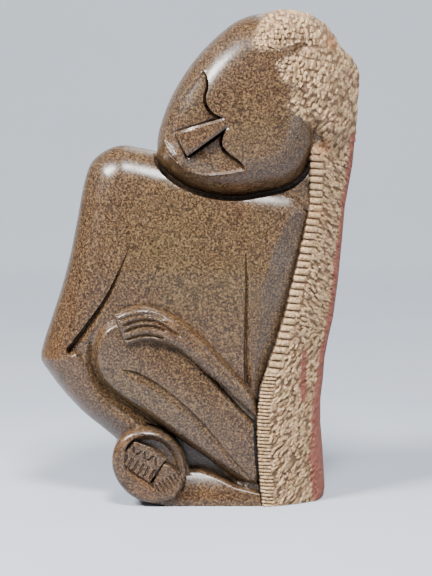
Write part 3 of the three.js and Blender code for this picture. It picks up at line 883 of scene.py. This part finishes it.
def values_at(masses, points):
    x, y, z = points.T
    row = np.clip((z - LOW[1]) / STEP, 0, len(ZS) - 2)
    col = np.clip((x - LOW[0]) / STEP, 0, len(XS) - 2)
    return field(masses, sampled(masses, row, col), y, z + 50)


def cavity_shade(masses, points, normals):
    """From 0 on open surfaces to 1 deep in a cut: how soon a point that leaves the surface meets another. The
    material darkens the colour by it: painted shade in the cuts.
    """
    near = values_at(masses, points + 0.4 * normals)
    slope = np.clip((values_at(masses, points - 0.4 * normals) - near) / 0.8, 0.2, 2)
    closed = np.zeros(len(points))
    for reach in (2.5, 6.0):
        free = -values_at(masses, points + reach * normals) / (reach * slope)
        closed = closed + 0.5 * (1 - np.clip(free, 0, 1))
    return closed


def paint(mesh, masses, maps):
    """Writes attributes for the material: hair, crust, pit depth for painted shade in the pits, clouds of
    colour (the grey ones partly painted sheen), and cavity for painted shade in the cuts.
    """
    count = len(mesh.vertices)
    co, out = np.empty(count * 3, np.float32), np.empty(count * 3, np.float32)
    mesh.vertices.foreach_get("co", co)
    mesh.vertices.foreach_get("normal", out)
    points = co.reshape(-1, 3) / MM + np.array([*ORIGIN, 0])
    x, y, z = points.T
    line_x, line_y, out_x = (np.interp(z, MANE[:, 0], MANE[:, k]) for k in (3, 4, 5))
    front = y < 8
    hair = np.where(front, at_points(maps["hair"], x, z), at_points(maps["hair_behind"], x, z))
    wobble = 1.6 * noise((x, y, z), 5, 31) + 0.8 * noise((x, y, z), 1.6, 32)
    edge = np.where(z > 300, 200, np.where(front, line_x, out_x - 9)) + wobble
    crust = soft(x - edge, -1.0, 1.5)
    streak = np.exp(-(((x - 84) / 3.2) ** 2 + ((z - 100) / 26) ** 2)) * front
    crust = np.maximum(crust, soft(streak + 0.25 * wobble, 0.35, 0.7))
    # Depth of the chisel marks, by which the material paints shade in the pits.
    pit_shade = at_points(maps["marks"], x, z)
    values = {
        "hair": hair, "crust": crust * (x > 40), "pit_shade": pit_shade, "rust": clouds(x, z, RUST),
        "grey_and_sheen": clouds(x, z, GREY_AND_SHEEN), "olive": clouds(x, z, OLIVE),
        "cavity_shade": cavity_shade(masses, points, out.reshape(-1, 3)),
    }
    for name, value in values.items():
        layer = mesh.attributes.new(name, "FLOAT", "POINT")
        layer.data.foreach_set("value", np.asarray(value, np.float32))


class Nodes:
    """Short names for the nodes of one material."""

    def __init__(self, name):
        self.material = bpy.data.materials.new(name)
        self.material.use_nodes = True
        self.tree = self.material.node_tree
        self.shader = self.tree.nodes["Principled BSDF"]
        self.place = self.tree.nodes.new("ShaderNodeTexCoord").outputs["Object"]

    def link(self, source, socket):
        if hasattr(source, "links"):
            self.tree.links.new(source, socket)
        else:
            socket.default_value = source

    def attribute(self, name):
        node = self.tree.nodes.new("ShaderNodeAttribute")
        node.attribute_name = name
        return node.outputs["Fac"]

    def noise(self, size, detail=2.0, rough=0.5):
        """Noise from 0 to 1 with bumps of about this size in millimetres."""
        node = self.tree.nodes.new("ShaderNodeTexNoise")
        self.link(self.place, node.inputs["Vector"])
        node.inputs["Scale"].default_value = 1 / (size * MM)
        node.inputs["Detail"].default_value = detail
        node.inputs["Roughness"].default_value = rough
        return node.outputs["Fac"]

    def math(self, kind, a, b=0.0, clamp=False):
        node = self.tree.nodes.new("ShaderNodeMath")
        node.operation = kind
        node.use_clamp = clamp
        self.link(a, node.inputs[0])
        self.link(b, node.inputs[1])
        return node.outputs[0]

    def spread(self, value, low, high, to_low=0.0, to_high=1.0):
        """Maps a range to another one and stays within it."""
        node = self.tree.nodes.new("ShaderNodeMapRange")
        for name, amount in (("From Min", low), ("From Max", high), ("To Min", to_low), ("To Max", to_high)):
            node.inputs[name].default_value = amount
        self.link(value, node.inputs["Value"])
        return node.outputs["Result"]

    def mix(self, share, a, b, kind="MIX"):
        node = self.tree.nodes.new("ShaderNodeMix")
        node.data_type = "RGBA"
        node.blend_type = kind
        self.link(share, node.inputs["Factor"])
        for value, socket in ((a, node.inputs[6]), (b, node.inputs[7])):
            self.link(value if hasattr(value, "links") else (*value, 1), socket)
        return node.outputs[2]

    def bump(self, height, distance, before=None):
        node = self.tree.nodes.new("ShaderNodeBump")
        node.inputs["Distance"].default_value = distance * MM
        self.link(height, node.inputs["Height"])
        if before is not None:
            self.link(before, node.inputs["Normal"])
        return node.outputs["Normal"]


def stone_material():
    """Polished brown stone with darker and golden grains, buff where it is pecked, red-brown at its crust;
    with painted shade in its cuts and in the pits of the pecking, painted sheen in its grey clouds and
    painted highlights among the pecking's specks.
    """
    n = Nodes("stone")
    hair, crust, pit_shade = n.attribute("hair"), n.attribute("crust"), n.attribute("pit_shade")
    rough = n.math("MAXIMUM", hair, crust)
    grain = n.noise(1.6, 2, 0.6)
    fine = n.noise(1.0, 1, 0.5)
    cloud = n.noise(38, 3, 0.55)
    patch = n.noise(14, 3, 0.6)
    base = n.mix(n.spread(cloud, 0.35, 0.65), (0.042, 0.020, 0.010), (0.058, 0.031, 0.015))
    base = n.mix(n.spread(patch, 0.45, 0.75, 0, 0.5), base, (0.052, 0.022, 0.011))
    base = n.mix(n.math("MULTIPLY", n.attribute("olive"), 0.8), base, (0.068, 0.045, 0.017))
    # Grey clouds: partly the stone's own grey, partly painted sheen where polished faces turn up or aside
    # toward the light.
    base = n.mix(n.math("MULTIPLY", n.attribute("grey_and_sheen"), 0.8), base, (0.052, 0.038, 0.031))
    base = n.mix(n.math("MULTIPLY", n.attribute("rust"), 0.85), base, (0.090, 0.033, 0.011))
    base = n.mix(n.spread(grain, 0.5, 0.64, 0, 0.8), base, (0.175, 0.108, 0.048))
    base = n.mix(n.spread(grain, 0.49, 0.36, 0, 0.85), base, (0.008, 0.005, 0.003))
    base = n.mix(n.spread(fine, 0.55, 0.75, 0, 0.6), base, (0.150, 0.078, 0.038))
    base = n.mix(n.spread(fine, 0.45, 0.25, 0, 0.6), base, (0.010, 0.008, 0.005))
    ridge = n.mix(n.spread(n.noise(5, 3, 0.6), 0.35, 0.65), (0.46, 0.275, 0.15), (0.42, 0.265, 0.12))
    # Light specks on the pecked stone: partly its buff bruising, partly painted highlights on the tufts,
    # scattered at random.
    ridge = n.mix(n.spread(n.noise(1.9, 2, 0.6), 0.5, 0.62, 0, 0.9), ridge, (0.70, 0.50, 0.32))
    ridge = n.mix(n.spread(n.noise(2.1, 2, 0.6), 0.47, 0.34, 0, 0.8), ridge, (0.11, 0.06, 0.025))
    ridge = n.mix(n.spread(n.noise(9, 2, 0.6), 0.5, 0.7, 0, 0.5), ridge, (0.34, 0.27, 0.12))
    # Painted shade: the pecked stone turns dark brown in the dents of the point chisel, the deeper the mark
    # the darker.
    pecked = n.mix(n.spread(pit_shade, 0.3, 0.9, 0, 0.9), ridge, (0.095, 0.05, 0.024))
    pecked = n.mix(n.math("MULTIPLY", n.attribute("rust"), 0.6), pecked, (0.36, 0.14, 0.05))
    red = n.mix(n.spread(n.noise(4, 4, 0.65), 0.35, 0.65), (0.17, 0.045, 0.03), (0.25, 0.085, 0.055))
    red = n.mix(n.spread(n.noise(1.5, 3, 0.7), 0.55, 0.7, 0, 0.6), red, (0.36, 0.18, 0.13))
    colour = n.mix(hair, base, pecked)
    colour = n.mix(crust, colour, red)
    # Painted shade: the colour darkens toward near-black deep in cuts and crevices, more on polished stone
    # than on pecked or crusted stone.
    cavity_painted_shade = n.math("MULTIPLY", n.spread(n.attribute("cavity_shade"), 0.5, 1.0), n.spread(rough, 0, 1, 0.85, 0.4))
    colour = n.mix(cavity_painted_shade, colour, (0.012, 0.008, 0.006))
    n.link(colour, n.shader.inputs["Base Color"])
    polished = n.spread(n.noise(9, 3, 0.6), 0.3, 0.7, 0.25, 0.35)
    node = n.tree.nodes.new("ShaderNodeMix")
    node.data_type = "FLOAT"
    n.link(rough, node.inputs["Factor"])
    n.link(polished, node.inputs[2])
    n.link(0.85, node.inputs[3])
    n.link(node.outputs[0], n.shader.inputs["Roughness"])
    n.shader.inputs["IOR"].default_value = 1.5
    relief = n.math("MULTIPLY", n.noise(1.1, 4, 0.7), rough)
    normal = n.bump(relief, 0.9)
    normal = n.bump(n.noise(0.8, 2, 0.5), 0.02, normal)
    n.link(normal, n.shader.inputs["Normal"])
    return n.material


# Camera: 6 degrees above the horizon, 1.3 m from the figure.
ELEVATION = math.radians(6)
DISTANCE = 1.3
TARGET = Vector((0.012772 + 0.00065, 0.002, 0.172998))
MM_PER_PIXEL = 0.824
SENSOR = 36.0
FRAME_HEIGHT = 576


def add_camera():
    data = bpy.data.cameras.new("camera")
    camera = bpy.data.objects.new("camera", data)
    bpy.context.scene.collection.objects.link(camera)
    away = Vector((0, -math.cos(ELEVATION), math.sin(ELEVATION)))
    camera.location = TARGET + away * DISTANCE
    camera.rotation_euler = (-away).to_track_quat("-Z", "Y").to_euler()
    data.sensor_width = SENSOR
    data.lens = SENSOR * DISTANCE / (FRAME_HEIGHT * MM_PER_PIXEL * MM)
    data.clip_start = 0.05
    data.clip_end = 20
    bpy.context.scene.camera = camera


# The backdrop: a floor that turns up into a wall well behind the figure, so that it can be seen from all
# sides. Far from the figure the backdrop gives light of its own, as if by lamps that stand there.
FLOOR_BEHIND = 1.9
SWEEP = 1.3
WALL_TOP = 3.2
STAGE_SIDE = 3.0
LIT_FROM = 0.5
LIT_FULLY = 2.1


def add_stage():
    profile = [(-3.0, 0.0), (FLOOR_BEHIND, 0.0)]
    for i in range(1, 25):
        turn = i / 24 * math.pi / 2
        profile.append((FLOOR_BEHIND + SWEEP * math.sin(turn), SWEEP * (1 - math.cos(turn))))
    profile.append((FLOOR_BEHIND + SWEEP, WALL_TOP))
    points = [(side * STAGE_SIDE, y, z) for y, z in profile for side in (-1, 1)]
    faces = [(2 * i, 2 * i + 1, 2 * i + 3, 2 * i + 2) for i in range(len(profile) - 1)]
    mesh = bpy.data.meshes.new("backdrop")
    mesh.from_pydata(points, [], faces)
    mesh.shade_smooth()
    backdrop = bpy.data.objects.new("backdrop", mesh)
    bpy.context.scene.collection.objects.link(backdrop)
    n = Nodes("backdrop")
    n.link(n.mix(n.noise(260, 2), (0.38, 0.42, 0.48), (0.45, 0.48, 0.54)), n.shader.inputs["Base Color"])
    n.shader.inputs["Roughness"].default_value = 0.9
    far = n.tree.nodes.new("ShaderNodeVectorMath")
    far.operation = "LENGTH"
    n.link(n.place, far.inputs[0])
    lit = n.mix(n.spread(far.outputs["Value"], LIT_FROM, LIT_FULLY), (0, 0, 0), (0.50, 0.535, 0.575))
    n.link(lit, n.shader.inputs["Emission Color"])
    n.shader.inputs["Emission Strength"].default_value = 1.0
    mesh.materials.append(n.material)


def add_lights():
    for name, place, power, size in (
        ("key", (-0.95, -0.65, 1.2), 62, 0.42),
        ("top", (0.15, -0.85, 1.5), 52, 0.42),
        ("fill", (1.2, -0.9, 0.5), 8, 1.0),
        ("rear", (0.4, 1.0, 1.3), 8, 1.0),
    ):
        data = bpy.data.lights.new(name, "AREA")
        data.energy = power
        data.size = size
        lamp = bpy.data.objects.new(name, data)
        lamp.location = place
        lamp.rotation_euler = (Vector((0, 0, 0.2)) - Vector(place)).to_track_quat("-Z", "Y").to_euler()
        bpy.context.scene.collection.objects.link(lamp)
    world = bpy.data.worlds.new("studio")
    world.use_nodes = True
    world.node_tree.nodes["Background"].inputs["Color"].default_value = (0.8, 0.83, 0.87, 1)
    world.node_tree.nodes["Background"].inputs["Strength"].default_value = 0.18
    bpy.context.scene.world = world


add_camera()
figure = build_figure()
figure.data.materials.append(stone_material())
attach(figure, "root")
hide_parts(NODE)
add_stage()
add_lights()
